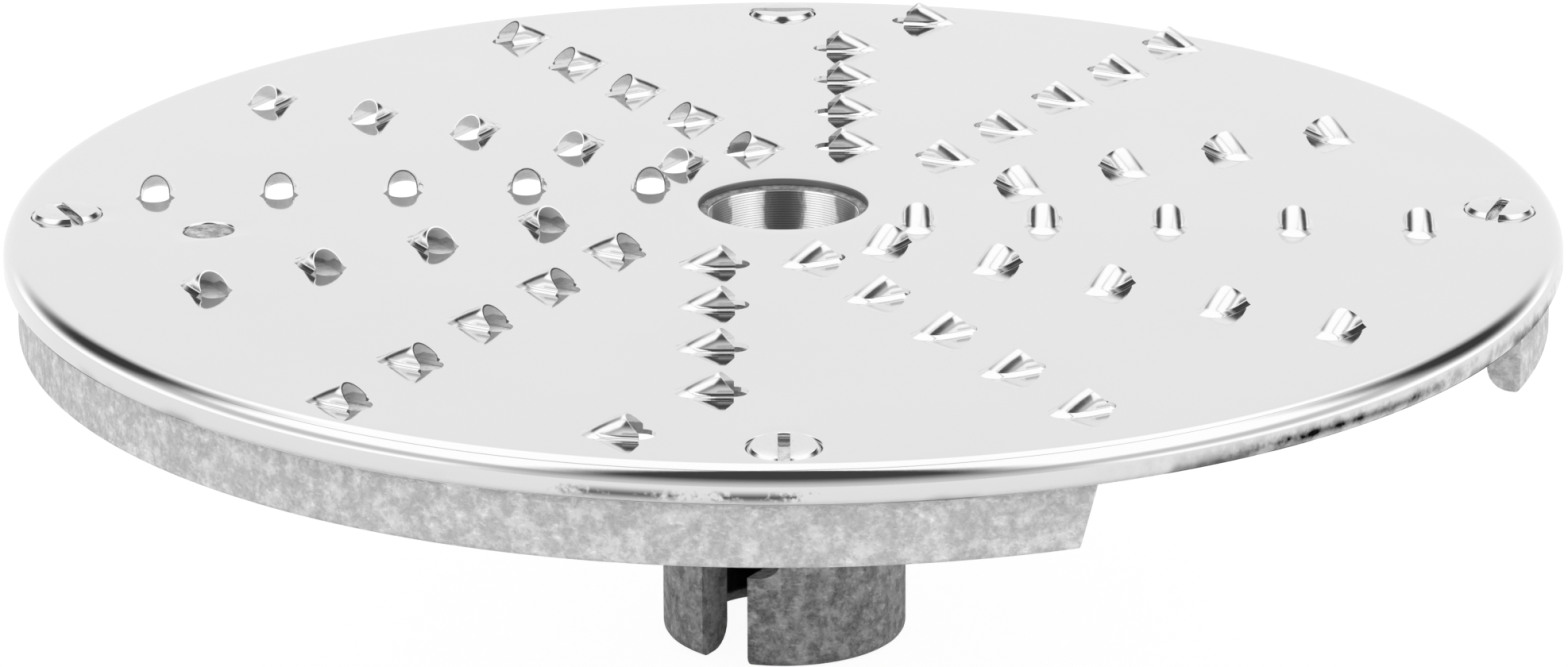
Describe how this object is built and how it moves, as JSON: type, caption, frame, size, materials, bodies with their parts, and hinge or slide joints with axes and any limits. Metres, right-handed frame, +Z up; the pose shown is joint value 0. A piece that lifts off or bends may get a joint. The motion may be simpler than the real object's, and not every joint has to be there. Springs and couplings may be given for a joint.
{
  "type": "grating disc",
  "caption": "Round steel disc with rows of hooded grating teeth, screwed to a cast carrier that has a slotted drive hub, open discharge sectors and skirts under the rim.",
  "frame": {"origin": "centre of the hub's foot, which is the lowest face and the middle of the disc in plan", "axes": "+Z up the drive bore towards the plate, screws on X and Y, -Y towards the picture's camera"},
  "size_m": [0.19, 0.19, 0.0565],
  "materials": {
    "plate_steel": "polished",
    "cast_alloy": "as cast",
    "screw_steel": "satin"
  },
  "bodies": {
    "root": {"grating_plate": "plate_steel", "carrier": "cast_alloy", "plate_screws": "screw_steel"}
  },
  "joints": []
}
